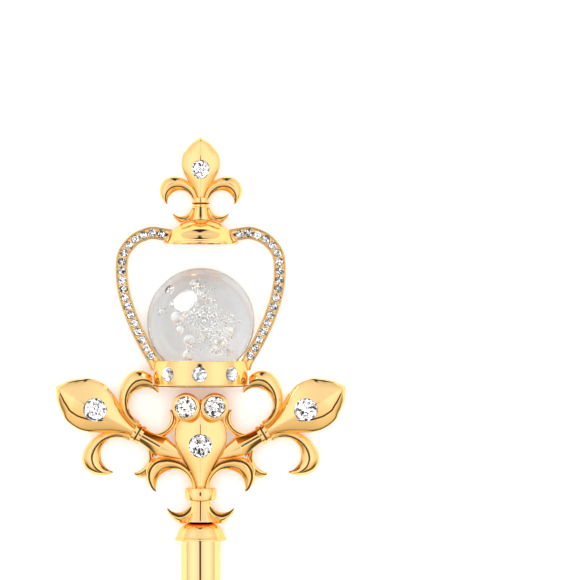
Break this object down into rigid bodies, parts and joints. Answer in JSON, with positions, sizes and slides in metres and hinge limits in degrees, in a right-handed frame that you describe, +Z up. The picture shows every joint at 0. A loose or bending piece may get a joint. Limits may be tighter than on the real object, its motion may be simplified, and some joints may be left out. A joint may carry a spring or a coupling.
{
  "type": "sceptre",
  "caption": "Pageant sceptre: gilt tube with a cast head of fleurs-de-lis, stone-set crown arches around a bubble-glass ball, and a fleur finial; it lies face up.",
  "frame": {"origin": "centre of the footprint's bounding box, on the surface that the sceptre lies on", "axes": "+X to the right of the sceptre's face, +Y along the staff towards the finial, +Z up out of the face"},
  "size_m": [0.0808, 0.4638, 0.0297],
  "materials": {
    "gilt_casting": "polished gold plating on cast alloy",
    "gilt_tube": "mirror-bright gold plating on drawn tube",
    "bubble_glass": "clear polished glass with sealed bubbles",
    "rhinestone": "faceted foil-backed crystal"
  },
  "bodies": {
    "root": {"staff_tube": "gilt_tube", "end_cap": "gilt_casting", "staff_socket": "gilt_casting", "front_fleur": "gilt_casting", "left_fleur": "gilt_casting", "right_fleur": "gilt_casting", "left_cup": "gilt_casting", "right_cup": "gilt_casting", "crown_frame": "gilt_casting", "crystal_ball": "bubble_glass", "crown_bell": "gilt_casting", "top_fleur": "gilt_casting", "front_stone": "rhinestone", "left_stone": "rhinestone", "right_stone": "rhinestone", "left_cup_stone": "rhinestone", "right_cup_stone": "rhinestone", "band_stone_left": "rhinestone", "band_stone_middle": "rhinestone", "band_stone_right": "rhinestone", "top_stone": "rhinestone", "arch_stone_left_01": "rhinestone", "arch_stone_left_02": "rhinestone", "arch_stone_left_03": "rhinestone", "arch_stone_left_04": "rhinestone", "arch_stone_left_05": "rhinestone", "arch_stone_left_06": "rhinestone", "arch_stone_left_07": "rhinestone", "arch_stone_left_08": "rhinestone", "arch_stone_left_09": "rhinestone", "arch_stone_left_10": "rhinestone", "arch_stone_left_11": "rhinestone", "arch_stone_left_12": "rhinestone", "arch_stone_left_13": "rhinestone", "arch_stone_left_14": "rhinestone", "arch_stone_left_15": "rhinestone", "arch_stone_left_16": "rhinestone", "arch_stone_left_17": "rhinestone", "arch_stone_left_18": "rhinestone", "arch_stone_right_01": "rhinestone", "arch_stone_right_02": "rhinestone", "arch_stone_right_03": "rhinestone", "arch_stone_right_04": "rhinestone", "arch_stone_right_05": "rhinestone", "arch_stone_right_06": "rhinestone", "arch_stone_right_07": "rhinestone", "arch_stone_right_08": "rhinestone", "arch_stone_right_09": "rhinestone", "arch_stone_right_10": "rhinestone", "arch_stone_right_11": "rhinestone", "arch_stone_right_12": "rhinestone", "arch_stone_right_13": "rhinestone", "arch_stone_right_14": "rhinestone", "arch_stone_right_15": "rhinestone", "arch_stone_right_16": "rhinestone", "arch_stone_right_17": "rhinestone", "arch_stone_right_18": "rhinestone"}
  },
  "joints": []
}
